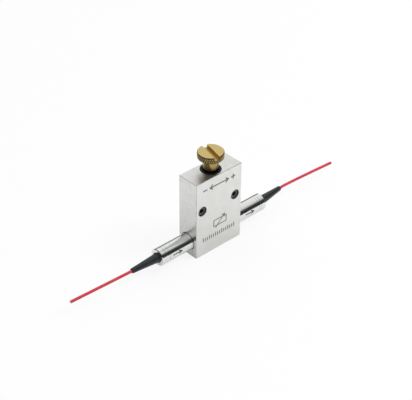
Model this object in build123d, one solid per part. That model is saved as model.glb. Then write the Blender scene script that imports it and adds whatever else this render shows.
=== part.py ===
# In-line variable fibre attenuator. A drilled aluminium block holds two fibre collimators that face
# each other across a small chamber, and a brass thumb screw lowers its pointed end into the beam.
# Millimetres. The origin is the middle of the block's bottom face, +X is the way the light goes,
# +Z is up, and the front face, with the two small set screws, looks towards -Y.
from build123d import *
import math
import os

# Shared cutting allowance and fits
CUT_OVERRUN = 1.0
CONTACT_GAP = 0.02
RUNNING_CLEARANCE = 0.05
BONDED_CLEARANCE = 0.03

# Block
BLOCK_LENGTH = 18.0
BLOCK_DEPTH = 7.5
BLOCK_HEIGHT = 26.5
BLOCK_EDGE_BREAK = 0.12
FIBRE_AXIS_HEIGHT = 4.75
BORE_MOUTH_BREAK = 0.15

# Collimator sleeve, the steel tube that stands out of each end of the block
SLEEVE_DIAMETER = 5.4
SLEEVE_INSERTION = 6.5
SLEEVE_STAND_OUT = 10.3
SLEEVE_EDGE_BREAK = 0.1
SLEEVE_SOCKET_DEPTH = 3.5
SLEEVE_SOCKET_WALL = 0.5

# Gold-plated collimator tube inside the sleeve
OPTIC_TUBE_DIAMETER = 3.2
OPTIC_TUBE_WALL = 0.17
OPTIC_TUBE_LENGTH = 12.0
OPTIC_TUBE_SETBACK = 0.3

# Glass tube that lines up the lens with the fibre's ferrule
GLASS_TUBE_LENGTH = 9.5
GLASS_TUBE_SETBACK = 1.2
ROD_DIAMETER = 1.8
LENS_LENGTH = 4.0
LENS_PROTRUSION = 0.4
LENS_FACE_RADIUS = 2.4
FERRULE_LENGTH = 4.6
FERRULE_GAP = 0.3
ANGLED_FACE_DEGREES = 8.0

# Optical fibre: bare glass in the ferrule, coated behind it
BARE_FIBRE_DIAMETER = 0.125
COATED_FIBRE_DIAMETER = 0.25
FIBRE_HOLE_CLEARANCE = 0.02
FERRULE_FUNNEL_DEPTH = 1.6

# End cap and rubber boot
CAP_LENGTH = 1.7
CAP_EDGE_BREAK = 0.2
CAP_BORE_DIAMETER = 3.3
CAP_SPIGOT_LENGTH = 1.75
BOOT_NECK_DIAMETER = 3.0
BOOT_TIP_DIAMETER = 1.64
BOOT_CONE_LENGTH = 9.6
BOOT_WAIST = 0.05
BOOT_TIP_ROUNDING = 0.2
BOOT_FLANGE_CLEARANCE = 0.1
BOOT_MOUTH_DIAMETER = 1.8
BOOT_HOLE_CLEARANCE = 0.1
BOOT_ROOT_INSET = 0.06
BOOT_ROOT_DEPTH = 0.3
BOOT_ROOT_RISE = 0.1
BOOT_LEAN_DEGREES = {"left": 1.2, "right": 5.2}

# Red jacket of each fibre lead. The points are measured outwards from the middle of the part and
# sideways towards +Y, and the last one is where the lead is cut.
JACKET_DIAMETER = 0.9
JACKET_START = 19.3
JACKET_ROUTE = {
    "left": [(33.8, 0.268), (51.85, 1.14)],
    "right": [(33.8, 1.165), (52.9, -0.24)],
}
ARC_SHARE = 0.45

# Attenuation screw: knurled and slotted head, polished collar, threaded shank, pointed end
HEAD_STAND_OUT = 4.1
HEAD_DIAMETER = 8.1
HEAD_THICKNESS = 2.0
HEAD_EDGE_BREAK = 0.25
KNURL_TEETH = 36
KNURL_DEPTH = 0.2
KNURL_TWIST_DEGREES = 16.0
SLOT_WIDTH = 1.7
SLOT_DEPTH = 1.05
SLOT_DIRECTION_DEGREES = 76.2
COLLAR_DIAMETER = 4.7
THREAD_DIAMETER = 3.0
THREAD_PITCH = 0.5
THREAD_RELIEF_BREAK = 0.25
TURNS_IN = 7
TURNS_OUT = 1
POINT_SHANK_DIAMETER = 1.8
POINT_LENGTH = 2.0
POINT_END_DIAMETER = 0.6
POINT_ABOVE_AXIS = 1.0

# Pocket in the block's top for the friction ring, and the bores below it
SEAL_POCKET_WALL = 0.55
SEAL_POCKET_DEPTH = 1.5
THREAD_ENGAGEMENT = 6.0
THREAD_END_MARGIN = 0.1
POINT_BORE_CLEARANCE = 0.2

# Friction ring, a rubber bush that stands a little out of the pocket
RING_STAND_OUT = 0.15
RING_EDGE_BREAK = 0.2
POCKET_MOUTH_BREAK = 0.05

# Thrust washer and return spring under the collar
WASHER_THICKNESS = 0.4
WASHER_CLEARANCE = 0.1
SPRING_WIRE = 0.4
SPRING_FACETS = 6
SPRING_TURNS = 4
SPRING_SPARE_TRAVEL = 0.3

# Set screws that close the tapped mounting holes at the front
SET_SCREW_DIAMETER = 3.0
SET_SCREW_LENGTH = 3.0
SET_SCREW_RECESS = 0.45
SET_SCREW_EDGE_BREAK = 0.22
SET_SCREW_SOCKET = 1.5
SET_SCREW_SOCKET_DEPTH = 1.5
HEXAGON_SIDES = 6
SET_SCREW_CUP_DIAMETER = 1.5
SET_SCREW_CUP_DEPTH = 0.5
SET_SCREW_HEX_DEGREES = {"left": 12.0, "right": 41.0}
MOUNT_HOLE_SPACING = 13.0
MOUNT_HOLE_HEIGHT = 16.25
MOUNT_HOLE_TAP_DIAMETER = 2.5
MOUNT_HOLE_STEP_SPARE = 0.15
MOUNT_HOLE_BREAK = 0.15

# Places worked out from the sizes above
SIDES = {"left": -1, "right": 1}
HALF_LENGTH = BLOCK_LENGTH / 2
HALF_DEPTH = BLOCK_DEPTH / 2
SLEEVE_START = HALF_LENGTH - SLEEVE_INSERTION
SLEEVE_END = HALF_LENGTH + SLEEVE_STAND_OUT
SOCKET_FLOOR = SLEEVE_END - SLEEVE_SOCKET_DEPTH
SOCKET_RADIUS = SLEEVE_DIAMETER / 2 - SLEEVE_SOCKET_WALL
SLEEVE_BORE_RADIUS = OPTIC_TUBE_DIAMETER / 2 + BONDED_CLEARANCE
CAP_END = SLEEVE_END + CAP_LENGTH
OPTIC_TUBE_START = SLEEVE_START + OPTIC_TUBE_SETBACK
OPTIC_TUBE_BORE_RADIUS = OPTIC_TUBE_DIAMETER / 2 - OPTIC_TUBE_WALL
GLASS_TUBE_START = OPTIC_TUBE_START + GLASS_TUBE_SETBACK
LENS_START = GLASS_TUBE_START - LENS_PROTRUSION
LENS_END = LENS_START + LENS_LENGTH
FERRULE_START = LENS_END + FERRULE_GAP
FERRULE_END = FERRULE_START + FERRULE_LENGTH
COLLAR_RADIUS = COLLAR_DIAMETER / 2
COLLAR_BORE_RADIUS = COLLAR_RADIUS + RUNNING_CLEARANCE
POCKET_RADIUS = HALF_DEPTH - SEAL_POCKET_WALL
POCKET_FLOOR = BLOCK_HEIGHT - SEAL_POCKET_DEPTH
HEAD_BOTTOM = BLOCK_HEIGHT + HEAD_STAND_OUT
HEAD_TOP = HEAD_BOTTOM + HEAD_THICKNESS
TRAVEL_IN = TURNS_IN * THREAD_PITCH
TRAVEL_OUT = TURNS_OUT * THREAD_PITCH
WASHER_TOP = POCKET_FLOOR - TRAVEL_OUT
COLLAR_BOTTOM = WASHER_TOP + CONTACT_GAP
WASHER_BOTTOM = WASHER_TOP - WASHER_THICKNESS
SPRING_LENGTH = TRAVEL_IN + SPRING_TURNS * SPRING_WIRE + SPRING_SPARE_TRAVEL
SPRING_FLOOR = WASHER_BOTTOM - SPRING_LENGTH
THREAD_FLOOR = SPRING_FLOOR - THREAD_ENGAGEMENT
SHANK_BOTTOM = THREAD_FLOOR + THREAD_END_MARGIN + TRAVEL_IN
POINT_BOTTOM = FIBRE_AXIS_HEIGHT + POINT_ABOVE_AXIS


def turned_along_fibre(profile):
    """A solid turned about the fibre axis, from corners given as (distance from the middle, radius)."""
    outline = make_face(Polyline(*profile, close=True))
    return revolve(outline, Axis.X).move(Location((0, 0, FIBRE_AXIS_HEIGHT)))


def turned_upright(profile):
    """A solid turned about the screw's upright axis, from corners given as (radius, height)."""
    outline = Plane.XZ * make_face(Polyline(*profile, close=True))
    return revolve(outline, Axis.Z)


def tube_along_fibre(start, length, inner, outer):
    """A plain tube on the fibre axis, square cut at both ends."""
    end = start + length
    return turned_along_fibre([(start, inner), (start, outer), (end, outer), (end, inner)])


def on_side(solid, side):
    """The left-hand copy of a right-hand piece is the same piece turned half round."""
    return solid if SIDES[side] > 0 else solid.rotate(Axis.Z, 180)


def sleeve_bore():
    """The hole from end to end of the block that both sleeves are bonded in."""
    radius = SLEEVE_DIAMETER / 2 + BONDED_CLEARANCE
    outer = HALF_LENGTH + CUT_OVERRUN
    mouth = radius + BORE_MOUTH_BREAK + CUT_OVERRUN
    inner = HALF_LENGTH - BORE_MOUTH_BREAK
    return turned_along_fibre(
        [(-outer, 0), (-outer, mouth), (-inner, radius), (inner, radius), (outer, mouth), (outer, 0)]
    )


def screw_bore():
    """The stepped hole from the block's top: ring pocket, collar and spring bore, thread, point bore."""
    point_radius = POINT_SHANK_DIAMETER / 2 + POINT_BORE_CLEARANCE
    thread_radius = THREAD_DIAMETER / 2 + RUNNING_CLEARANCE
    above = BLOCK_HEIGHT + CUT_OVERRUN
    return turned_upright(
        [
            (0, FIBRE_AXIS_HEIGHT),
            (point_radius, FIBRE_AXIS_HEIGHT),
            (point_radius, THREAD_FLOOR),
            (thread_radius, THREAD_FLOOR),
            (thread_radius, SPRING_FLOOR),
            (COLLAR_BORE_RADIUS, SPRING_FLOOR),
            (COLLAR_BORE_RADIUS, POCKET_FLOOR),
            (POCKET_RADIUS, POCKET_FLOOR),
            (POCKET_RADIUS, BLOCK_HEIGHT - POCKET_MOUTH_BREAK),
            (POCKET_RADIUS + POCKET_MOUTH_BREAK + CUT_OVERRUN, above),
            (0, above),
        ]
    )


def mount_hole(side):
    """One tapped hole through the block: set screw seat at the front, smaller tapped bore to the back."""
    seat_radius = SET_SCREW_DIAMETER / 2 + BONDED_CLEARANCE
    tap_radius = MOUNT_HOLE_TAP_DIAMETER / 2
    step = SET_SCREW_RECESS + SET_SCREW_LENGTH + MOUNT_HOLE_STEP_SPARE - HALF_DEPTH
    beyond = HALF_DEPTH + CUT_OVERRUN
    widening = MOUNT_HOLE_BREAK + CUT_OVERRUN
    profile = [
        (0, -beyond),
        (seat_radius + widening, -beyond),
        (seat_radius, MOUNT_HOLE_BREAK - HALF_DEPTH),
        (seat_radius, step),
        (tap_radius, step),
        (tap_radius, HALF_DEPTH - MOUNT_HOLE_BREAK),
        (tap_radius + widening, beyond),
        (0, beyond),
    ]
    hole = revolve(make_face(Polyline(*profile, close=True)), Axis.Y)
    return hole.move(Location((SIDES[side] * MOUNT_HOLE_SPACING / 2, 0, MOUNT_HOLE_HEIGHT)))


def housing():
    """The milled aluminium block with its edges just broken and all its holes."""
    block = Box(BLOCK_LENGTH, BLOCK_DEPTH, BLOCK_HEIGHT, align=(Align.CENTER, Align.CENTER, Align.MIN))
    block = chamfer(block.edges(), BLOCK_EDGE_BREAK)
    return block - sleeve_bore() - screw_bore() - mount_hole("left") - mount_hole("right")


def collimator_sleeve(side):
    """Steel tube bonded into the block, with a wider socket at its outer end for the cap."""
    outer = SLEEVE_DIAMETER / 2
    profile = [
        (SLEEVE_START, SLEEVE_BORE_RADIUS),
        (SLEEVE_START, outer),
        (SLEEVE_END - SLEEVE_EDGE_BREAK, outer),
        (SLEEVE_END, outer - SLEEVE_EDGE_BREAK),
        (SLEEVE_END, SOCKET_RADIUS),
        (SOCKET_FLOOR, SOCKET_RADIUS),
        (SOCKET_FLOOR, SLEEVE_BORE_RADIUS),
    ]
    return on_side(turned_along_fibre(profile), side)


def end_cap(side):
    """Flanged ring pressed into the sleeve's socket. It traps the boot's flange behind it."""
    outer = SLEEVE_DIAMETER / 2
    spigot = SOCKET_RADIUS - BONDED_CLEARANCE
    profile = [
        (SLEEVE_END - CAP_SPIGOT_LENGTH, CAP_BORE_DIAMETER / 2),
        (SLEEVE_END - CAP_SPIGOT_LENGTH, spigot),
        (SLEEVE_END, spigot),
        (SLEEVE_END, outer),
        (CAP_END - CAP_EDGE_BREAK, outer),
        (CAP_END, outer - CAP_EDGE_BREAK),
        (CAP_END, CAP_BORE_DIAMETER / 2),
    ]
    return on_side(turned_along_fibre(profile), side)


def leaning(solid, side):
    """The solid turned sideways towards +Y about the middle of the cap's outer face."""
    pivot = Axis((CAP_END, 0, FIBRE_AXIS_HEIGHT), (0, 0, 1))
    return solid.rotate(pivot, SIDES[side] * BOOT_LEAN_DEGREES[side])


def strain_relief_boot(side):
    """Moulded rubber boot: trapped flange, neck through the cap and a long waisted cone that leans a little."""
    neck = BOOT_NECK_DIAMETER / 2
    tip = BOOT_TIP_DIAMETER / 2
    mouth = BOOT_MOUTH_DIAMETER / 2
    hole = JACKET_DIAMETER / 2 + BOOT_HOLE_CLEARANCE
    flange = SOCKET_RADIUS - BOOT_FLANGE_CLEARANCE
    flange_end = SLEEVE_END - CAP_SPIGOT_LENGTH
    neck_end = CAP_END - BOOT_ROOT_INSET
    root = neck - BOOT_ROOT_INSET
    root_start = CAP_END - BOOT_ROOT_DEPTH
    cone_start = CAP_END + BOOT_ROOT_RISE
    cone_end = CAP_END + BOOT_CONE_LENGTH
    taper_end = cone_end - BOOT_TIP_ROUNDING
    base = turned_along_fibre(
        [(SOCKET_FLOOR, mouth), (SOCKET_FLOOR, flange), (flange_end, flange), (flange_end, neck),
         (neck_end, neck), (neck_end, mouth)]
    )
    taper = SagittaArc((cone_start, root), (taper_end, tip), -BOOT_WAIST)
    rest = Polyline((taper_end, tip), (cone_end, tip - BOOT_TIP_ROUNDING), (cone_end, hole), (root_start, hole),
                    (root_start, root), (cone_start, root))
    cone = revolve(make_face([taper, rest]), Axis.X).move(Location((0, 0, FIBRE_AXIS_HEIGHT)))
    return on_side(base + leaning(cone, side), side)


def jacket_points(side):
    """The lead's route: along the boot's own hole first, then the hand-chosen points."""
    sideways = (JACKET_START - CAP_END) * math.tan(math.radians(BOOT_LEAN_DEGREES[side]))
    points = [(JACKET_START, sideways)] + JACKET_ROUTE[side]
    return [Vector(SIDES[side] * along, across, FIBRE_AXIS_HEIGHT) for along, across in points]


def fibre_jacket(side):
    """The red jacket: a round tube along straight runs joined by large tangent arcs."""
    points = jacket_points(side)
    runs = [(b - a).length for a, b in zip(points, points[1:])]
    turns = [(b - a).get_angle(c - b) for a, b, c in zip(points, points[1:], points[2:])]
    radii = [
        ARC_SHARE * min(before, after) / math.tan(math.radians(turn / 2))
        for before, after, turn in zip(runs, runs[1:], turns)
    ]
    print("jacket", side, "arc radii", [round(radius, 1) for radius in radii])
    route = FilletPolyline(*points, radius=radii)
    section = Plane(origin=points[0], z_dir=points[1] - points[0]) * Circle(JACKET_DIAMETER / 2)
    jacket = sweep(section, path=route)
    print("jacket", side, "length", round(route.length, 2), "volume over section times length",
          round(jacket.volume / (math.pi * JACKET_DIAMETER ** 2 / 4 * route.length), 5))
    return jacket


def optic_tube(side):
    """Thin gold-plated tube that carries the lens assembly inside the sleeve."""
    outer = OPTIC_TUBE_DIAMETER / 2
    return on_side(tube_along_fibre(OPTIC_TUBE_START, OPTIC_TUBE_LENGTH, OPTIC_TUBE_BORE_RADIUS, outer), side)


def glass_tube(side):
    """Glass tube that holds lens and ferrule on one axis."""
    inner = ROD_DIAMETER / 2 + BONDED_CLEARANCE
    outer = OPTIC_TUBE_BORE_RADIUS - BONDED_CLEARANCE
    return on_side(tube_along_fibre(GLASS_TUBE_START, GLASS_TUBE_LENGTH, inner, outer), side)


def angled_cutter(place, outward):
    """A block that trims a glass rod to the angled face at that place along the axis."""
    size = 2 * (LENS_LENGTH + FERRULE_LENGTH)
    side = Align.MIN if outward else Align.MAX
    block = Box(size, size, size, align=(side, Align.CENTER, Align.CENTER))
    return Location((place, 0, FIBRE_AXIS_HEIGHT)) * (block.rotate(Axis.Y, ANGLED_FACE_DEGREES))


def lens(side):
    """Glass rod lens: domed towards the beam, ground to an angle towards the fibre."""
    radius = ROD_DIAMETER / 2
    sag = LENS_FACE_RADIUS - math.sqrt(LENS_FACE_RADIUS ** 2 - radius ** 2)
    slant = radius * math.tan(math.radians(ANGLED_FACE_DEGREES))
    dome = RadiusArc((LENS_START + sag, radius), (LENS_START, 0), -LENS_FACE_RADIUS)
    body = Polyline((LENS_START, 0), (LENS_END + slant, 0), (LENS_END + slant, radius), (LENS_START + sag, radius))
    rod = revolve(make_face([dome, body]), Axis.X).move(Location((0, 0, FIBRE_AXIS_HEIGHT)))
    return on_side(rod - angled_cutter(LENS_END, outward=True), side)


def ferrule(side):
    """Glass ferrule with the fibre's fine hole, a funnel behind and an angled front face."""
    radius = ROD_DIAMETER / 2
    fine = BARE_FIBRE_DIAMETER / 2 + FIBRE_HOLE_CLEARANCE
    wide = COATED_FIBRE_DIAMETER / 2 + FIBRE_HOLE_CLEARANCE
    slant = radius * math.tan(math.radians(ANGLED_FACE_DEGREES))
    funnel = FERRULE_END - FERRULE_FUNNEL_DEPTH
    rod = turned_along_fibre(
        [(FERRULE_START - slant, fine), (FERRULE_START - slant, radius), (FERRULE_END, radius),
         (FERRULE_END, wide), (funnel, wide), (funnel, fine)]
    )
    return on_side(rod - angled_cutter(FERRULE_START, outward=False), side)


def optical_fibre(side):
    """Fibre from the ferrule's face to the jacket: bare glass first, then its coating."""
    bare = BARE_FIBRE_DIAMETER / 2
    coated = COATED_FIBRE_DIAMETER / 2
    coating_start = FERRULE_END - FERRULE_FUNNEL_DEPTH + FIBRE_HOLE_CLEARANCE
    end = JACKET_START - RUNNING_CLEARANCE
    start = FERRULE_START + FIBRE_HOLE_CLEARANCE
    profile = [(start, 0), (start, bare), (coating_start, bare), (coating_start, coated), (end, coated), (end, 0)]
    return on_side(turned_along_fibre(profile), side)


def set_screw(side):
    """Short headless screw with a hexagon socket outside and a cup point inside."""
    outer = SET_SCREW_DIAMETER / 2
    front = SET_SCREW_RECESS - HALF_DEPTH
    back = front + SET_SCREW_LENGTH
    profile = [
        (0, front),
        (outer - SET_SCREW_EDGE_BREAK, front),
        (outer, front + SET_SCREW_EDGE_BREAK),
        (outer, back - SET_SCREW_EDGE_BREAK),
        (outer - SET_SCREW_EDGE_BREAK, back),
        (SET_SCREW_CUP_DIAMETER / 2, back),
        (0, back - SET_SCREW_CUP_DEPTH),
    ]
    body = revolve(make_face(Polyline(*profile, close=True)), Axis.Y)
    mouth = Plane(origin=(0, front - CUT_OVERRUN, 0), z_dir=(0, 1, 0))
    hexagon = RegularPolygon(SET_SCREW_SOCKET / 2, HEXAGON_SIDES, major_radius=False)
    hexagon = mouth * Rotation(0, 0, SET_SCREW_HEX_DEGREES[side]) * hexagon
    socket = extrude(hexagon, CUT_OVERRUN + SET_SCREW_SOCKET_DEPTH)
    place = Location((SIDES[side] * MOUNT_HOLE_SPACING / 2, 0, MOUNT_HOLE_HEIGHT))
    return (body - socket).move(place)


def knurled_disc():
    """The head's rim: a right-hand and a left-hand twisted star prism, and what both share is diamonds."""
    outer = HEAD_DIAMETER / 2
    corners = []
    for tooth in range(KNURL_TEETH):
        root_angle = math.radians(360 * tooth / KNURL_TEETH)
        crest_angle = math.radians(360 * (tooth + 1 / 2) / KNURL_TEETH)
        root = outer - KNURL_DEPTH
        corners.append(Vector(root * math.cos(root_angle), root * math.sin(root_angle), HEAD_BOTTOM))
        corners.append(Vector(outer * math.cos(crest_angle), outer * math.sin(crest_angle), HEAD_BOTTOM))
    edges = [Edge.make_line(a, b) for a, b in zip(corners, corners[1:] + corners[:1])]
    star = Wire(edges)
    foot = Vector(0, 0, HEAD_BOTTOM)
    rise = Vector(0, 0, HEAD_THICKNESS)
    right_hand = Solid.extrude_linear_with_rotation(star, foot, rise, KNURL_TWIST_DEGREES)
    left_hand = Solid.extrude_linear_with_rotation(star, foot, rise, -KNURL_TWIST_DEGREES)
    blank = turned_upright(
        [
            (0, HEAD_BOTTOM),
            (outer - HEAD_EDGE_BREAK, HEAD_BOTTOM),
            (outer, HEAD_BOTTOM + HEAD_EDGE_BREAK),
            (outer, HEAD_TOP - HEAD_EDGE_BREAK),
            (outer - HEAD_EDGE_BREAK, HEAD_TOP),
            (0, HEAD_TOP),
        ]
    )
    return right_hand & left_hand & blank


def attenuation_screw():
    """The brass thumb screw, turned in one piece, with its coin slot milled across the head."""
    shank = THREAD_DIAMETER / 2
    point_shank = POINT_SHANK_DIAMETER / 2
    stem = turned_upright(
        [
            (0, HEAD_BOTTOM),
            (COLLAR_RADIUS, HEAD_BOTTOM),
            (COLLAR_RADIUS, COLLAR_BOTTOM),
            (shank, COLLAR_BOTTOM),
            (shank, SHANK_BOTTOM + THREAD_RELIEF_BREAK),
            (shank - THREAD_RELIEF_BREAK, SHANK_BOTTOM),
            (point_shank, SHANK_BOTTOM),
            (point_shank, POINT_BOTTOM + POINT_LENGTH),
            (POINT_END_DIAMETER / 2, POINT_BOTTOM),
            (0, POINT_BOTTOM),
        ]
    )
    slot = Box(HEAD_DIAMETER + CUT_OVERRUN, SLOT_WIDTH, SLOT_DEPTH + CUT_OVERRUN,
               align=(Align.CENTER, Align.CENTER, Align.MIN))
    slot = slot.rotate(Axis.Z, SLOT_DIRECTION_DEGREES).move(Location((0, 0, HEAD_TOP - SLOT_DEPTH)))
    return knurled_disc() + stem - slot


def thrust_washer():
    """Flat washer that carries the spring's push to the turning collar. It rises and falls, and never turns."""
    inner = THREAD_DIAMETER / 2 + WASHER_CLEARANCE
    outer = COLLAR_BORE_RADIUS - WASHER_CLEARANCE
    return turned_upright(
        [(inner, WASHER_BOTTOM), (outer, WASHER_BOTTOM), (outer, WASHER_TOP), (inner, WASHER_TOP)]
    )


def return_spring():
    """Compression spring with its ends ground flat, between the bore's step and the thrust washer."""
    inner = THREAD_DIAMETER / 2
    middle = (inner + COLLAR_BORE_RADIUS) / 2
    pitch = SPRING_LENGTH / SPRING_TURNS
    coil = Helix(pitch, SPRING_LENGTH, middle, center=(0, 0, SPRING_FLOOR))
    section = Plane(origin=coil @ 0, z_dir=coil % 0) * RegularPolygon(SPRING_WIRE / 2, SPRING_FACETS)
    wire = sweep(section, path=coil, is_frenet=True)
    width = 2 * COLLAR_BORE_RADIUS
    ground = Box(width, width, SPRING_LENGTH - 2 * CONTACT_GAP, align=(Align.CENTER, Align.CENTER, Align.MIN))
    return wire & ground.move(Location((0, 0, SPRING_FLOOR + CONTACT_GAP)))


def friction_ring():
    """Black rubber ring that fills the top pocket. It seals the bore and holds the screw where it is set."""
    inner = COLLAR_RADIUS + CONTACT_GAP
    outer = POCKET_RADIUS - CONTACT_GAP
    top = BLOCK_HEIGHT + RING_STAND_OUT
    return turned_upright(
        [
            (inner, POCKET_FLOOR + CONTACT_GAP),
            (outer, POCKET_FLOOR + CONTACT_GAP),
            (outer, top - RING_EDGE_BREAK),
            (outer - RING_EDGE_BREAK, top),
            (inner + RING_EDGE_BREAK, top),
            (inner, top - RING_EDGE_BREAK),
        ]
    )


def all_parts():
    """Every piece under its node's name."""
    parts = {
        "housing": housing(),
        "attenuation_screw": attenuation_screw(),
        "thrust_washer": thrust_washer(),
        "return_spring": return_spring(),
        "friction_ring": friction_ring(),
    }
    makers = {
        "collimator_sleeve": collimator_sleeve,
        "end_cap": end_cap,
        "strain_relief_boot": strain_relief_boot,
        "fibre_jacket": fibre_jacket,
        "optic_tube": optic_tube,
        "glass_tube": glass_tube,
        "lens": lens,
        "ferrule": ferrule,
        "optical_fibre": optical_fibre,
        "set_screw": set_screw,
    }
    for side in SIDES:
        for name, make in makers.items():
            parts[f"{name}_{side}"] = make(side)
    return parts


os.makedirs("parts", exist_ok=True)
for node, solid in all_parts().items():
    export_step(solid, f"parts/{node}.step")
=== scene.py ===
# An in-line variable fibre attenuator, dressed for its picture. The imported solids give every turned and
# milled metal piece its form. Here they get their finishes, and the soft and fine pieces are made anew:
# the red leads, the rubber boots and ring, the spring, and the marks on the metal.
import bpy
import numpy as np
from mathutils import Matrix


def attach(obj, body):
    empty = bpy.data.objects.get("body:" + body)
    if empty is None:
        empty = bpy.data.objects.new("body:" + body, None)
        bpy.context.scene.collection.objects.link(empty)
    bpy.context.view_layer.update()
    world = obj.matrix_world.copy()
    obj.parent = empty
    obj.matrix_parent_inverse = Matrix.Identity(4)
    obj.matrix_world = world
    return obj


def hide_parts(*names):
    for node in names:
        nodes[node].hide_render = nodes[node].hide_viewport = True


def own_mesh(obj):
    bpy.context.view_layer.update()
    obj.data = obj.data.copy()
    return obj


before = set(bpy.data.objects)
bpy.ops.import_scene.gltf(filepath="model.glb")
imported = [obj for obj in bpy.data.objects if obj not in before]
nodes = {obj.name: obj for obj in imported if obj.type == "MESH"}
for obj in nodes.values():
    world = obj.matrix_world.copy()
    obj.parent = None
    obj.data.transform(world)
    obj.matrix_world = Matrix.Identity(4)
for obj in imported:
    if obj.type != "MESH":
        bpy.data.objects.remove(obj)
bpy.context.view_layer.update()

scene = bpy.context.scene
scene.view_settings.view_transform = "Standard"
MM = 0.001


# The camera stands in front of the block's left-hand edge, about 390 mm away, and looks down on it
# with a long lens, so that the block's upright edges stay nearly parallel.
camera = bpy.data.objects.new("camera", bpy.data.cameras.new("camera"))
camera.data.sensor_width = 36
camera.data.lens = 111.26
camera_right = (0.73531, -0.67770, 0.00596)
camera_up = (0.39144, 0.43186, 0.81257)
camera_back = (-0.55325, -0.59516, 0.58283)
camera_place = (-0.20903, -0.22299, 0.23451)
camera.matrix_world = Matrix((camera_right + (0,), camera_up + (0,), camera_back + (0,),
                              camera_place + (1,))).transposed()
scene.collection.objects.link(camera)
scene.camera = camera


# Fibre leads. Each is a glass fibre in a tight red plastic jacket 0.9 mm across, which is stiff enough
# to stand out level from its boot. It runs straight through the boot, bends a little and ends in a cut.
lead_diameter = 0.9
fibre_height = 4.75
lead_colour = (0.72, 0.052, 0.084, 1)
lead_deep_colour = (0.64, 0.040, 0.066, 1)
lead_routes = {
    "left": [(-19.3, -0.0356), (-28.4, 0.155), (-33.8, 0.268), (-51.85, 1.14)],
    "right": [(19.3, -0.1547), (28.4, 0.6735), (33.8, 1.165), (52.9, -0.24)],
}
lead_cuts = [(route[-1][0] * MM, route[-1][1] * MM, fibre_height * MM) for route in lead_routes.values()]
cut_fibre_radius = 0.125
cut_fibre_colour = (0.75, 0.78, 0.76, 1)


def put(tree, kind, inputs=(), **settings):
    """Adds a shader node. Settings are its own properties. Inputs pairs a socket's name or number with
    a value, or with another node's output, which is then linked to it."""
    made = tree.nodes.new("ShaderNode" + kind)
    for name, value in settings.items():
        setattr(made, name, value)
    for key, value in dict(inputs).items():
        if isinstance(value, bpy.types.NodeSocket):
            tree.links.new(value, made.inputs[key])
        else:
            made.inputs[key].default_value = value
    return made


def sums(tree, operation, a, b=0.0):
    """One sum of two values, each a number or a socket, and its result's socket."""
    return put(tree, "Math", {0: a, 1: b}, operation=operation).outputs[0]


def ramp(tree, value, low, high, to_low=0.0, to_high=1.0):
    """A value carried from low..high to to_low..to_high along a smooth step, and level outside them."""
    inputs = {"Value": value, "From Min": low, "From Max": high, "To Min": to_low, "To Max": to_high}
    return put(tree, "MapRange", inputs, interpolation_type="SMOOTHSTEP").outputs[0]


def blend_colours(tree, factor, a, b, **settings):
    """Colour a where the factor is 0 and colour b where it is 1."""
    return put(tree, "Mix", {0: factor, 6: a, 7: b}, data_type="RGBA", **settings).outputs[2]


def colour_between(tree, shader, factor, a, b):
    """A finish's colour, a where the factor is 0 and b where it is 1."""
    tree.links.new(blend_colours(tree, factor, a, b), shader.inputs["Base Color"])


def raise_surface(tree, shader, height, strength, distance):
    """Bump on a finish. A height of 1 stands for the distance in metres."""
    bump = put(tree, "Bump", {"Height": height, "Strength": strength, "Distance": distance})
    tree.links.new(bump.outputs[0], shader.inputs["Normal"])


def new_finish(name, **constants):
    """A material with one Principled BSDF, and the numbers that are the same all over its surface."""
    finish = bpy.data.materials.new(name)
    finish.use_nodes = True
    shader = finish.node_tree.nodes["Principled BSDF"]
    for socket, value in constants.items():
        shader.inputs[socket.replace("_", " ")].default_value = value
    return finish, finish.node_tree, shader


def new_group(name, inputs, outputs):
    """An empty node group for an effect that several finishes share, with its named sockets."""
    group = bpy.data.node_groups.new(name, "ShaderNodeTree")
    for socket, kind, value in inputs:
        made = group.interface.new_socket(socket, in_out="INPUT", socket_type="NodeSocket" + kind)
        if value is not None:
            made.default_value = value
    for socket, kind in outputs:
        group.interface.new_socket(socket, in_out="OUTPUT", socket_type="NodeSocket" + kind)
    return group, group.nodes.new("NodeGroupInput").outputs, group.nodes.new("NodeGroupOutput").inputs


def place_group(tree, group, **inputs):
    """A group set in a finish, with this finish's own values. Socket names take a space for each _."""
    made = tree.nodes.new("ShaderNodeGroup")
    made.node_tree = group
    for name, value in inputs.items():
        socket = made.inputs[name.replace("_", " ")]
        if isinstance(value, bpy.types.NodeSocket):
            tree.links.new(value, socket)
        else:
            socket.default_value = value
    return made.outputs


# Handling. Soft smudges a few millimetres across and a fine mottle, which every finish on the object
# uses in its own sizes, so that no surface is quite even.
handling, given, gives = new_group(
    "handling",
    [("Place", "Vector", None), ("Smudge Size", "Float", 3.0), ("Mottle Size", "Float", 0.4)],
    [("Smudge", "Float"), ("Mottle", "Float")],
)
smudge_scale = sums(handling, "DIVIDE", 1000.0, given["Smudge Size"])
mottle_scale = sums(handling, "DIVIDE", 1000.0, given["Mottle Size"])
smudge = put(handling, "TexNoise", {"Vector": given["Place"], "Scale": smudge_scale, "Detail": 2.0})
mottle = put(handling, "TexNoise", {"Vector": given["Place"], "Scale": mottle_scale, "Detail": 3.0})
handling.links.new(ramp(handling, smudge.outputs["Fac"], 0.35, 0.68), gives["Smudge"])
handling.links.new(ramp(handling, mottle.outputs["Fac"], 0.3, 0.7), gives["Mottle"])


def object_place(tree):
    """The point on the surface in the object's own coordinates, in metres."""
    return put(tree, "TexCoord").outputs["Object"]


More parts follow.
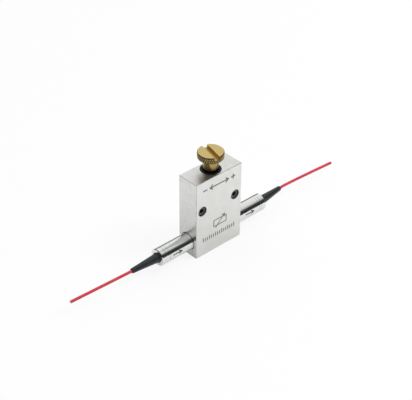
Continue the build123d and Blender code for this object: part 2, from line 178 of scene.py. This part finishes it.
red_jacket, tree, shader = new_finish("red_jacket", Roughness=0.36, Specular_IOR_Level=0.45)
place = object_place(tree)
hand = place_group(tree, handling, Place=place, Smudge_Size=1.6, Mottle_Size=0.22)
red = blend_colours(tree, hand["Smudge"], lead_colour, lead_deep_colour)
from_cuts = [
    put(tree, "VectorMath", {0: place, 1: cut}, operation="DISTANCE").outputs["Value"] for cut in lead_cuts
]
at_fibre = ramp(tree, sums(tree, "MINIMUM", *from_cuts), (cut_fibre_radius + 0.005) * MM,
                (cut_fibre_radius - 0.005) * MM)
colour_between(tree, shader, at_fibre, red, cut_fibre_colour)
raise_surface(tree, shader, hand["Mottle"], 0.25, 0.00002)

for side, route in lead_routes.items():
    curve = bpy.data.curves.new(f"red_lead_{side}", "CURVE")
    curve.dimensions = "3D"
    curve.bevel_depth = lead_diameter / 2 * MM
    curve.bevel_resolution = 8
    curve.use_fill_caps = True
    line = curve.splines.new("NURBS")
    line.points.add(len(route) - 1)
    for point, (along, across) in zip(line.points, route):
        point.co = (along * MM, across * MM, fibre_height * MM, 1)
    line.order_u = 3
    line.use_endpoint_u = True
    line.resolution_u = 16
    lead = bpy.data.objects.new(f"red_lead_{side}", curve)
    scene.collection.objects.link(lead)
    lead.data.materials.append(red_jacket)
    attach(lead, "block")
    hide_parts(f"fibre_jacket_{side}")


# Rubber boots. Each is moulded in one piece, a long cone that thins towards the lead, with a flange
# that the end cap holds in the sleeve. It leans a little with the pull of its lead.
boot_lean = {"left": 1.2, "right": 5.2}
boot_columns = 72
cap_end = 21.0
boot_profile_points = np.array(
    [(20.6, 0.9), (20.7, 0.55), (30.6, 0.55), (30.58, 0.62), (30.48, 0.72), (30.28, 0.80), (27.4, 0.98),
     (24.2, 1.21), (21.1, 1.44), (20.96, 1.46), (20.90, 1.5), (17.55, 1.5), (17.55, 2.1), (15.8, 2.1),
     (15.8, 0.9)]
)
boot_colour = (0.011, 0.016, 0.018, 1)
boot_worn_colour = (0.019, 0.026, 0.028, 1)


def skin(name, grid, round_rows=False, round_columns=True):
    """A piece whose surface goes through a grid of points, rows by columns. Each four-cornered face
    joins a point to its neighbours, and a round direction joins the last point to the first."""
    rows, columns = grid.shape[:2]
    row = np.arange(rows if round_rows else rows - 1)[:, None]
    column = np.arange(columns if round_columns else columns - 1)[None, :]
    next_row = (row + 1) % rows
    next_column = (column + 1) % columns
    corners = [row * columns + column, next_row * columns + column, next_row * columns + next_column,
               row * columns + next_column]
    faces = np.stack(np.broadcast_arrays(*corners), axis=-1).reshape(-1, 4)
    mesh = bpy.data.meshes.new(name)
    mesh.from_pydata((grid.reshape(-1, 3) * MM).tolist(), [], faces.tolist())
    mesh.shade_smooth()
    piece = bpy.data.objects.new(name, mesh)
    scene.collection.objects.link(piece)
    return piece


def finish_piece(piece, finish, body, sharp_degrees=35):
    """Gives a piece its finish and its body, and keeps corners sharper than this crisp."""
    piece.data.materials.append(finish)
    piece.data.set_sharp_from_angle(angle=np.radians(sharp_degrees))
    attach(piece, body)
    return piece


def turned_about_fibre(profile, columns, direction):
    """Grid of a piece turned about the fibre axis. A profile point (u, r) goes round as
    (direction u, r cos a, height + r sin a), with a from 0 to a full turn. The faces look outwards
    where the profile runs away from the block on its inner side and back on its outer side."""
    angle = np.linspace(0, 2 * np.pi, columns, endpoint=False) * direction
    along = np.repeat(profile[:, :1] * direction, columns, axis=1)
    across = profile[:, 1:] * np.cos(angle)
    height = fibre_height + profile[:, 1:] * np.sin(angle)
    return np.stack([along, across, height], axis=-1)


def roughness_between(tree, shader, factor, smooth, rough):
    """A finish's roughness, smooth where the factor is 0 and rough where it is 1."""
    tree.links.new(ramp(tree, factor, 0, 1, smooth, rough), shader.inputs["Roughness"])


boot_rubber, tree, shader = new_finish("boot_rubber", Roughness=0.42, Specular_IOR_Level=0.5)
hand = place_group(tree, handling, Place=object_place(tree), Smudge_Size=2.4, Mottle_Size=0.16)
colour_between(tree, shader, hand["Smudge"], boot_colour, boot_worn_colour)
roughness_between(tree, shader, hand["Smudge"], 0.38, 0.5)
raise_surface(tree, shader, hand["Mottle"], 0.35, 0.00002)

for side, direction in {"left": -1, "right": 1}.items():
    grid = turned_about_fibre(boot_profile_points, boot_columns, direction)
    beyond_cap = np.clip(np.abs(grid[..., 0]) - cap_end, 0, None)
    grid[..., 1] += np.tan(np.radians(boot_lean[side])) * beyond_cap
    boot = skin(f"rubber_boot_{side}", grid, round_rows=True)
    finish_piece(boot, boot_rubber, "block")
    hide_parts(f"strain_relief_boot_{side}")


# Block. It is milled from aluminium bar and bored from end to end for the sleeves and from the top for
# the screw, with two tapped mounting holes. Its satin end faces are a little smoother than its sides and
# are painted a little darker as shade, its filed edges are rougher, and its holes are painted dark as shade.
def dress(node, finish):
    """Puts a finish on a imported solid, whose form stays as it is."""
    for material_slot in nodes[node].material_slots:
        material_slot.material = finish


def blend_values(tree, factor, a, b):
    """Number a where the factor is 0 and number b where it is 1."""
    return put(tree, "Mix", {0: factor, 2: a, 3: b}, data_type="FLOAT").outputs[0]


block_colour = (0.80, 0.805, 0.78, 1)
block_dull_colour = (0.755, 0.76, 0.735, 1)
block_half = (9.0, 3.75, 13.25)
block_middle = (0, 0, 13.25)
milling_grain = (9000.0, 9000.0, 900.0)
end_face_shade_tint = (0.91, 0.91, 0.915, 1)
end_smoothness = 0.08
edge_roughness = 0.8
hole_shade_tint = (0.22, 0.225, 0.22, 1)

satin_aluminium, tree, shader = new_finish("satin_aluminium", Metallic=1.0)
place = object_place(tree)
hand = place_group(tree, handling, Place=place, Smudge_Size=2.5, Mottle_Size=0.3)
grain_place = put(tree, "Mapping", {"Vector": place, "Scale": milling_grain}).outputs[0]
grain = put(tree, "TexNoise", {"Vector": grain_place, "Scale": 1.0, "Detail": 2.0}).outputs["Fac"]
tone = sums(tree, "ADD", sums(tree, "MULTIPLY", hand["Smudge"], 0.4), sums(tree, "MULTIPLY", grain, 0.6))

# How far a point is past the block's faces each way: nothing on a face, a little less than nothing on
# the filed edges, and much less in the holes.
from_middle = put(tree, "VectorMath", {0: place, 1: [v * MM for v in block_middle]}, operation="SUBTRACT")
away = put(tree, "VectorMath", {0: from_middle.outputs[0]}, operation="ABSOLUTE")
half_size = [v * MM for v in block_half]
past_faces = put(tree, "VectorMath", {0: away.outputs[0], 1: half_size}, operation="SUBTRACT")
past = put(tree, "SeparateXYZ", {0: past_faces.outputs[0]}).outputs
on_end = ramp(tree, past["X"], -0.07 * MM, -0.04 * MM)
below_face = sums(tree, "MAXIMUM", sums(tree, "MAXIMUM", past["X"], past["Y"]), past["Z"])
on_edge = ramp(tree, below_face, -0.004 * MM, -0.012 * MM)
in_hole_shade = ramp(tree, below_face, -0.10 * MM, -0.16 * MM)

bar = blend_colours(tree, tone, block_colour, block_dull_colour)
# Painted shade: the end faces are tinted a little darker than the sides.
bar = blend_colours(tree, on_end, bar, end_face_shade_tint, blend_type="MULTIPLY")
# Painted shade: inside the holes the aluminium is tinted dark.
bar = blend_colours(tree, in_hole_shade, bar, hole_shade_tint, blend_type="MULTIPLY")
tree.links.new(bar, shader.inputs["Base Color"])
satin = ramp(tree, tone, 0.1, 0.9, 0.32, 0.43)
smoother = sums(tree, "SUBTRACT", satin, sums(tree, "MULTIPLY", on_end, end_smoothness))
tree.links.new(blend_values(tree, on_edge, smoother, edge_roughness), shader.inputs["Roughness"])
height = sums(tree, "ADD", sums(tree, "MULTIPLY", grain, 0.5), sums(tree, "MULTIPLY", hand["Mottle"], 0.5))
height = sums(tree, "MULTIPLY", height, ramp(tree, on_end, 0, 1, 1.0, 0.4))
raise_surface(tree, shader, height, 0.3, 0.00001)
dress("housing", satin_aluminium)


# Marks on the block's front, laser marked in grey: which way the screw turns it down and up, the
# drawing sign of a variable attenuator, and a plain row of ticks. They lie a hair proud of the face.
front_face = -block_half[1]
mark_lift = 0.006
mark_step = 0.0015
mark_width = 0.4
mark_colour = (0.13, 0.125, 0.115, 1)
mark_pale_colour = (0.22, 0.215, 0.2, 1)


def strokes(name, paths, width, lay_on):
    """Flat strokes of one width. Each path's corners are joined by four-cornered ribbons, half the width
    either side and square ended, each lifted a hair more than the last. lay_on carries (across, up) points
    and their lifts onto the face they mark."""
    corners = []
    for path in paths:
        path = np.array(path, float)
        run = np.diff(path, axis=0)
        run /= np.linalg.norm(run, axis=1)[:, None]
        side_step = np.stack([-run[:, 1], run[:, 0]], axis=1) * width / 2
        end_step = run * width / 2
        start, end = path[:-1] - end_step, path[1:] + end_step
        edges = [start - side_step, end - side_step, end + side_step, start + side_step]
        corners.append(np.stack(edges, axis=1))
    corners = np.concatenate(corners)
    steps = 6
    row = 2 * (steps + 1)
    fine = np.linspace(0, 1, steps + 1)
    lower = corners[:, 0, None] * (1 - fine[:, None]) + corners[:, 1, None] * fine[:, None]
    upper = corners[:, 3, None] * (1 - fine[:, None]) + corners[:, 2, None] * fine[:, None]
    ribbon = np.stack([lower, upper], axis=2)
    lift = mark_lift + mark_step * np.repeat(np.arange(len(corners)), row)
    points = lay_on(ribbon.reshape(-1, 2), lift)
    first = np.arange(len(corners))[:, None] * row + np.arange(steps)[None, :] * 2
    faces = np.stack([first, first + 2, first + 3, first + 1], axis=-1).reshape(-1, 4)
    mesh = bpy.data.meshes.new(name)
    mesh.from_pydata((points * MM).tolist(), [], faces.tolist())
    piece = bpy.data.objects.new(name, mesh)
    scene.collection.objects.link(piece)
    return piece


def on_front(points, lift):
    """(across, up) laid on the front face at y = front face - lift."""
    return np.stack([points[:, 0], front_face - lift, points[:, 1]], axis=1)


laser_grey, tree, shader = new_finish("laser_grey", Roughness=0.6, Metallic=0.3)
hand = place_group(tree, handling, Place=object_place(tree), Smudge_Size=0.8, Mottle_Size=0.1)
colour_between(tree, shader, hand["Mottle"], mark_colour, mark_pale_colour)

turn_arrow = [[(-3.6, 23.2), (3.6, 23.2)], [(-2.7, 23.9), (-3.6, 23.2), (-2.7, 22.5)],
              [(2.7, 23.9), (3.6, 23.2), (2.7, 22.5)]]
minus_sign = [[(-6.2, 23.2), (-4.9, 23.2)]]
plus_sign = [[(4.9, 23.2), (6.2, 23.2)], [(5.55, 22.55), (5.55, 23.85)]]
sign_frame = [[(-2.0, 8.5), (3.0, 8.5)], [(3.0, 8.5), (3.0, 10.7)], [(3.0, 10.7), (-2.0, 10.7)],
              [(-2.0, 10.7), (-2.0, 8.5)]]
sign_arrow = [[(-1.2, 7.9), (2.3, 11.4)], [(1.3, 11.35), (2.3, 11.4), (2.2, 10.4)]]
ticks = [[(x, 5.0), (x, 5.9 if k % 3 else 6.2)] for k, x in enumerate(np.linspace(-6.2, 6.2, 16))]
for name, paths, width in (
    ("turn_marks", turn_arrow + minus_sign + plus_sign, mark_width),
    ("attenuator_sign", sign_frame + sign_arrow, mark_width * 0.75),
    ("row_of_ticks", ticks, mark_width * 0.8),
):
    finish_piece(strokes(name, paths, width, on_front), laser_grey, "block")


# Sleeves and end caps. They are turned from stainless steel bar and polished, with fine lathe lines
# and one scribed line round them, drawn only as a painted dark line of shade. The sleeves are bonded
# into the block, and each cap is pressed into its sleeve's end.
lathe_lines, given, gives = new_group(
    "lathe_lines",
    [("Along", "Float", 0.0), ("Spacing", "Float", 0.08)],
    [("Lines", "Float")],
)
position = sums(lathe_lines, "DIVIDE", given["Along"], sums(lathe_lines, "MULTIPLY", given["Spacing"], MM))
fine = put(lathe_lines, "TexNoise", {"W": position, "Scale": 1.0, "Detail": 2.0}, noise_dimensions="1D")
broad = put(lathe_lines, "TexNoise", {"W": sums(lathe_lines, "MULTIPLY", position, 0.13), "Scale": 1.0},
            noise_dimensions="1D")
both = sums(lathe_lines, "ADD", sums(lathe_lines, "MULTIPLY", fine.outputs["Fac"], 0.6),
            sums(lathe_lines, "MULTIPLY", broad.outputs["Fac"], 0.4))
lathe_lines.links.new(ramp(lathe_lines, both, 0.3, 0.7), gives["Lines"])

steel_colour = (0.80, 0.815, 0.80, 1)
steel_line_colour = (0.74, 0.755, 0.74, 1)
steel_groove_shade_colour = (0.45, 0.455, 0.44, 1)
groove_from_middle = 18.2
groove_half_width = 0.055

turned_steel, tree, shader = new_finish("turned_steel", Metallic=1.0)
place = object_place(tree)
hand = place_group(tree, handling, Place=place, Smudge_Size=3.0, Mottle_Size=0.3)
along = put(tree, "SeparateXYZ", {0: place}).outputs["X"]
lines = place_group(tree, lathe_lines, Along=along, Spacing=0.1)["Lines"]
tone = sums(tree, "ADD", sums(tree, "MULTIPLY", lines, 0.6), sums(tree, "MULTIPLY", hand["Smudge"], 0.4))
steel = blend_colours(tree, tone, steel_colour, steel_line_colour)
off_groove = sums(tree, "SUBTRACT", sums(tree, "ABSOLUTE", along), groove_from_middle * MM)
in_groove = ramp(tree, sums(tree, "ABSOLUTE", off_groove), (groove_half_width + 0.015) * MM,
                 (groove_half_width - 0.015) * MM)
# Painted shade: the scribed line is coloured darker than the steel round it.
colour_between(tree, shader, in_groove, steel, steel_groove_shade_colour)
roughness_between(tree, shader, tone, 0.1, 0.17)
raise_surface(tree, shader, lines, 0.2, 0.000001)
for side in ("left", "right"):
    dress(f"collimator_sleeve_{side}", turned_steel)
    dress(f"end_cap_{side}", turned_steel)


# Arrows on the sleeves. Each is engraved and filled dark grey, and shows which way the light goes:
# in through the left-hand lead and out through the right-hand one.
sleeve_radius = 2.7
arrow_rise = np.radians(8.0)
arrow_starts = {"left": -16.9, "right": 12.5}
arrow_width = 0.32
filler_colour = (0.035, 0.036, 0.036, 1)
filler_pale_colour = (0.07, 0.07, 0.068, 1)


def on_sleeve(points, lift):
    """(along, round) laid on the sleeve: the angle is the arrow's rise plus round / radius, and the
    point is (along, -r cos angle, height + r sin angle), with r the sleeve's radius and the lift."""
    angle = arrow_rise + points[:, 1] / sleeve_radius
    radius = sleeve_radius + lift
    return np.stack([points[:, 0], -radius * np.cos(angle), fibre_height + radius * np.sin(angle)], axis=1)


dark_filler, tree, shader = new_finish("dark_filler", Roughness=0.55)
hand = place_group(tree, handling, Place=object_place(tree), Smudge_Size=0.8, Mottle_Size=0.1)
colour_between(tree, shader, hand["Mottle"], filler_colour, filler_pale_colour)

for side, start in arrow_starts.items():
    shaft = [[(start, 0), (start + 3.2, 0)]]
    head = [[(start + 2.3, 0.5), (start + 3.25, 0), (start + 2.3, -0.5)]]
    arrow = strokes(f"light_arrow_{side}", shaft + head, arrow_width, on_sleeve)
    finish_piece(arrow, dark_filler, "block")


# Attenuation screw. It is turned from brass bar in one piece, its head's rim knurled in diamonds and
# its top slotted. The top keeps a mottled satin from handling. Shade is painted dark into the knurl's
# grooves, the rim's bevel, the slot and the head's underside, and the polished collar is painted darker
# than the head, darkest at its foot with a painted reflection of the black rubber ring.
head_top = 32.6
head_bottom = 30.6
flat_radius = 3.8
knurl_crest = 4.0
knurl_root = 3.88
rim_bevel = 0.2
slot_floor = 31.55
foot_reflection_top = 29.0
foot_reflection_bottom = 27.1
brass_colour = (0.71, 0.555, 0.23, 1)
brass_dull_colour = (0.60, 0.46, 0.175, 1)
brass_groove_shade_colour = (0.075, 0.058, 0.032, 1)
brass_slot_shade_colour = (0.43, 0.25, 0.045, 1)
brass_underside_shade_colour = (0.08, 0.065, 0.04, 1)
brass_collar_shade_colour = (0.40, 0.28, 0.10, 1)
brass_foot_reflection_colour = (0.09, 0.075, 0.04, 1)

brass, tree, shader = new_finish("brass", Metallic=1.0)
place = object_place(tree)
split = put(tree, "SeparateXYZ", {0: place})
flat_place = put(tree, "CombineXYZ", {0: split.outputs["X"], 1: split.outputs["Y"]}).outputs[0]
radius = put(tree, "VectorMath", {0: flat_place}, operation="LENGTH").outputs["Value"]
height = split.outputs["Z"]
hand = place_group(tree, handling, Place=place, Smudge_Size=1.8, Mottle_Size=0.24)
rings = place_group(tree, lathe_lines, Along=radius, Spacing=0.09)["Lines"]
tone = sums(tree, "ADD", sums(tree, "MULTIPLY", hand["Mottle"], 0.65), sums(tree, "MULTIPLY", rings, 0.35))
clean = blend_colours(tree, tone, brass_colour, brass_dull_colour)
on_head = ramp(tree, height, (head_bottom - 0.02) * MM, head_bottom * MM)
rim_outside = ramp(tree, radius, (flat_radius - 0.02) * MM, (flat_radius + 0.02) * MM)
between_crests = ramp(tree, radius, knurl_crest * MM, knurl_root * MM)
on_bevel = ramp(tree, height, (head_top - rim_bevel - 0.06) * MM, (head_top - rim_bevel) * MM)
# Painted shade: the knurl's grooves and the rim's bevel are coloured dark.
groove = sums(tree, "MULTIPLY", rim_outside, sums(tree, "MAXIMUM", between_crests, on_bevel))
# Painted shade: the slot is coloured darker, less on its floor than on its walls.
slot_wall = ramp(tree, height, (slot_floor + 0.02) * MM, (slot_floor + 0.08) * MM, 0.35, 1.0)
slot_shade = sums(tree, "MULTIPLY", slot_wall, ramp(tree, height, (head_top - 0.03) * MM, (head_top - 0.4) * MM))
slot_shade = sums(tree, "MULTIPLY", slot_shade, on_head)
slot_shade = sums(tree, "MULTIPLY", slot_shade, sums(tree, "SUBTRACT", 1.0, rim_outside))
# Painted shade: the head's underside is coloured near black.
under = ramp(tree, height, (head_bottom + 0.06) * MM, (head_bottom + 0.02) * MM)
slotted = blend_colours(tree, slot_shade, clean, brass_slot_shade_colour)
# Painted shade and reflection: the collar is coloured darker than the head, and its foot darker still, as a
# painted reflection of the black ring.
in_foot_reflection = ramp(tree, height, foot_reflection_top * MM, foot_reflection_bottom * MM)
collar = blend_colours(tree, in_foot_reflection, brass_collar_shade_colour, brass_foot_reflection_colour)
below_head = blend_colours(tree, on_head, collar, brass_underside_shade_colour)
grooved = blend_colours(tree, groove, slotted, brass_groove_shade_colour)
colour_between(tree, shader, under, grooved, below_head)
satin = ramp(tree, tone, 0, 1, 0.3, 0.42)
polished = sums(tree, "ADD", 0.12, sums(tree, "MULTIPLY", hand["Smudge"], 0.06))
tree.links.new(blend_values(tree, on_head, polished, satin), shader.inputs["Roughness"])
raise_surface(tree, shader, tone, 0.3, 0.000012)
dress("attenuation_screw", brass)


# Friction ring. It is a black rubber bush, pressed into the block's top pocket and standing a hair out
# of it, which drags on the screw's collar and keeps its setting.
ring_inside = 2.37
ring_outside = 3.18
ring_foot = 25.02
ring_top = 26.65
ring_rounding = 0.18
ring_columns = 96
ring_colour = (0.005, 0.005, 0.006, 1)
ring_worn_colour = (0.01, 0.01, 0.011, 1)

ring_rubber, tree, shader = new_finish("ring_rubber", Specular_IOR_Level=0.3)
hand = place_group(tree, handling, Place=object_place(tree), Smudge_Size=1.2, Mottle_Size=0.08)
colour_between(tree, shader, hand["Smudge"], ring_colour, ring_worn_colour)
roughness_between(tree, shader, hand["Mottle"], 0.4, 0.55)


def turned_upright(profile, columns):
    """Grid of a piece turned about the screw's axis. A profile point (r, z) goes round as
    (r cos a, r sin a, z), with a from 0 to a full turn. The faces look outwards where the profile
    runs up its inner side and down its outer side."""
    angle = np.linspace(0, 2 * np.pi, columns, endpoint=False)
    height = np.repeat(profile[:, 1:], columns, axis=1)
    return np.stack([profile[:, :1] * np.cos(angle), profile[:, :1] * np.sin(angle), height], axis=-1)


turn = np.linspace(0, np.pi / 2, 7)
inner_shoulder = np.stack([ring_inside + ring_rounding * (1 - np.cos(turn)),
                           ring_top - ring_rounding * (1 - np.sin(turn))], axis=1)
outer_shoulder = np.stack([ring_outside - ring_rounding * (1 - np.cos(turn[::-1])),
                           ring_top - ring_rounding * (1 - np.sin(turn[::-1]))], axis=1)
foot = [(ring_outside, ring_foot), (ring_inside, ring_foot)]
ring_profile = np.concatenate([inner_shoulder, outer_shoulder, foot])
ring = skin("rubber_ring", turned_upright(ring_profile, ring_columns), round_rows=True)
finish_piece(ring, ring_rubber, "block", sharp_degrees=60)
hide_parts("friction_ring")


# Adhesive. A bead of black epoxy fills the bevel round each sleeve where it goes into the block. It
# has the black ring's finish.
bead_profile = np.array(
    [(8.87, 2.705), (9.03, 2.705), (9.025, 2.76), (9.01, 2.82), (8.995, 2.868), (8.87, 2.745)]
)
for side, direction in {"left": -1, "right": 1}.items():
    grid = turned_about_fibre(bead_profile, ring_columns, direction)
    bead = skin(f"adhesive_bead_{side}", grid, round_rows=True)
    finish_piece(bead, ring_rubber, "block", sharp_degrees=60)


# Return spring and thrust washer. The spring is coiled from spring steel wire with its ends ground
# flat. It stands on the bore's step and pushes the washer up against the turning collar.
spring_floor = 18.7
spring_length = 5.4
spring_turns = 4
spring_radius = 1.95
spring_wire = 0.4
wire_steps_per_turn = 48
wire_columns = 14
spring_colour = (0.52, 0.51, 0.49, 1)
spring_oiled_colour = (0.4, 0.385, 0.36, 1)

spring_steel, tree, shader = new_finish("spring_steel", Metallic=1.0)
hand = place_group(tree, handling, Place=object_place(tree), Smudge_Size=1.5, Mottle_Size=0.12)
colour_between(tree, shader, hand["Smudge"], spring_colour, spring_oiled_colour)
roughness_between(tree, shader, hand["Mottle"], 0.24, 0.36)

# At t turns round the screw and the angle a round the wire, a point is (R cos 2 pi t, R sin 2 pi t, h),
# with R = coil radius + wire radius cos a and h = the coil's rise at t + wire radius sin a, ground flat.
wire_turn, wire_round = np.meshgrid(
    np.linspace(0, 2 * np.pi * spring_turns, wire_steps_per_turn * spring_turns + 1),
    np.linspace(0, 2 * np.pi, wire_columns, endpoint=False), indexing="ij"
)
wire_reach = spring_radius + spring_wire / 2 * np.cos(wire_round)
wire_height = spring_floor + spring_length * wire_turn / (2 * np.pi * spring_turns)
wire_height = np.clip(wire_height + spring_wire / 2 * np.sin(wire_round), spring_floor + 0.02,
                      spring_floor + spring_length - 0.02)
grid = np.stack([wire_reach * np.cos(wire_turn), wire_reach * np.sin(wire_turn), wire_height], axis=-1)
spring = finish_piece(skin("wire_spring", grid), spring_steel, "block")
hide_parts("return_spring")
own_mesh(spring)
dress("thrust_washer", spring_steel)


# Set screws. They are short headless screws of blackened steel with a hexagon socket, screwed in just
# below the face, and they close the front of the two mounting holes.
socket_start = -2.9
socket_deep = -2.0
oxide_colour = (0.165, 0.18, 0.185, 1)
oxide_dark_colour = (0.115, 0.127, 0.13, 1)
socket_painted_light_colour = (0.36, 0.40, 0.41, 1)

black_steel, tree, shader = new_finish("black_steel", Metallic=0.85)
place = object_place(tree)
hand = place_group(tree, handling, Place=place, Smudge_Size=1.0, Mottle_Size=0.1)
depth = put(tree, "SeparateXYZ", {0: place}).outputs["Y"]
# Painted light: the deep part of the hexagon socket is coloured lighter than the screw's face.
socket_lit = ramp(tree, depth, socket_start * MM, socket_deep * MM)
face = blend_colours(tree, hand["Mottle"], oxide_colour, oxide_dark_colour)
colour_between(tree, shader, socket_lit, face, socket_painted_light_colour)
roughness_between(tree, shader, hand["Smudge"], 0.32, 0.5)
for side in ("left", "right"):
    dress(f"set_screw_{side}", black_steel)


# Optics inside the sleeves: a gold-plated tube, a glass tube in it, and in that the rod lens and the
# ferrule with the coated fibre. They are all bonded, and no light gets in but the fibre's.
gold_colour = (0.80, 0.54, 0.19, 1)
gold_dull_colour = (0.70, 0.45, 0.14, 1)
glass_colour = (0.93, 0.97, 0.96, 1)
coating_colour = (0.78, 0.8, 0.78, 1)
coating_dull_colour = (0.7, 0.73, 0.72, 1)

gold_plate, tree, shader = new_finish("gold_plate", Metallic=1.0)
hand = place_group(tree, handling, Place=object_place(tree), Smudge_Size=2.0, Mottle_Size=0.12)
colour_between(tree, shader, hand["Smudge"], gold_colour, gold_dull_colour)
roughness_between(tree, shader, hand["Mottle"], 0.16, 0.26)

clear_glass, tree, shader = new_finish("clear_glass", Transmission_Weight=1.0, IOR=1.5,
                                       Base_Color=glass_colour)
hand = place_group(tree, handling, Place=object_place(tree), Smudge_Size=1.2, Mottle_Size=0.1)
roughness_between(tree, shader, hand["Smudge"], 0.02, 0.09)

fibre_coating, tree, shader = new_finish("fibre_coating", Roughness=0.3)
hand = place_group(tree, handling, Place=object_place(tree), Smudge_Size=0.8, Mottle_Size=0.06)
colour_between(tree, shader, hand["Smudge"], coating_colour, coating_dull_colour)
for side in ("left", "right"):
    dress(f"optic_tube_{side}", gold_plate)
    dress(f"glass_tube_{side}", clear_glass)
    dress(f"lens_{side}", clear_glass)
    dress(f"ferrule_{side}", clear_glass)
    dress(f"optical_fibre_{side}", fibre_coating)


# Floor and light. A white floor, a bright studio sky with a dark low band round it that the polished
# tubes show as their dark stripe, and two soft lamps.
floor_reach = 2500
floor_height = -0.02
floor_glow = 0.85
floor_glow_in_metal = 0.2
window_side = (0.45, 0.89, 0)
band_top = 0.68
band_top_drop_at_window = 0.38
band_softness = 0.16
band_glow = 0.035
ceiling_glow = 0.85
window_extra_glow = 0.15

white_floor, tree, shader = new_finish("white_floor", Roughness=0.9, Base_Color=(0.94, 0.94, 0.94, 1),
                                       Specular_IOR_Level=0.1)
path = put(tree, "LightPath").outputs
seen = sums(tree, "MAXIMUM", path["Is Camera Ray"], path["Is Transmission Ray"])
in_metal = sums(tree, "MULTIPLY", path["Is Glossy Ray"], floor_glow_in_metal)
shown = sums(tree, "MAXIMUM", sums(tree, "MULTIPLY", seen, floor_glow), in_metal)
glow = put(tree, "Emission", {"Color": (1, 1, 1, 1), "Strength": 1.0})
mixed = put(tree, "MixShader", {0: shown, 1: shader.outputs[0], 2: glow.outputs[0]})
tree.links.new(mixed.outputs[0], tree.nodes["Material Output"].inputs["Surface"])

floor_line = np.linspace(-floor_reach, floor_reach, 9)
along, across = np.meshgrid(floor_line, floor_line, indexing="ij")
grid = np.stack([along, across, np.full_like(along, floor_height)], axis=-1)
floor = skin("floor", grid, round_columns=False)
floor.data.materials.append(white_floor)

world = bpy.data.worlds.new("studio")
scene.world = world
world.use_nodes = True
tree = world.node_tree
direction = put(tree, "VectorMath", {0: put(tree, "TexCoord").outputs["Generated"]}, operation="NORMALIZE")
split = put(tree, "SeparateXYZ", {0: direction.outputs[0]})
towards_window = put(tree, "VectorMath", {0: direction.outputs[0], 1: window_side}, operation="DOT_PRODUCT")
opening = ramp(tree, towards_window.outputs["Value"], 0.0, 0.8)
edge = sums(tree, "SUBTRACT", band_top, sums(tree, "MULTIPLY", opening, band_top_drop_at_window))
above = sums(tree, "SUBTRACT", split.outputs["Z"], edge)
ceiling = sums(tree, "ADD", ceiling_glow, sums(tree, "MULTIPLY", opening, window_extra_glow))
sky = ramp(tree, above, -band_softness, band_softness, band_glow, ceiling)
path = put(tree, "LightPath").outputs
strength = blend_values(tree, path["Is Camera Ray"], sky, 1.0)
background = tree.nodes["Background"]
background.inputs["Color"].default_value = (1, 1, 1, 1)
tree.links.new(strength, background.inputs["Strength"])

for name, place, size, power in (
    ("key_lamp", (0.5, -0.5, 0.8), 0.5, 7.0),
    ("fill_lamp", (-0.4, 0.5, 0.9), 0.7, 1.0),
):
    lamp = bpy.data.lights.new(name, "AREA")
    lamp.size = size
    lamp.energy = power
    stand = bpy.data.objects.new(name, lamp)
    stand.location = place
    stand.visible_glossy = False
    scene.collection.objects.link(stand)
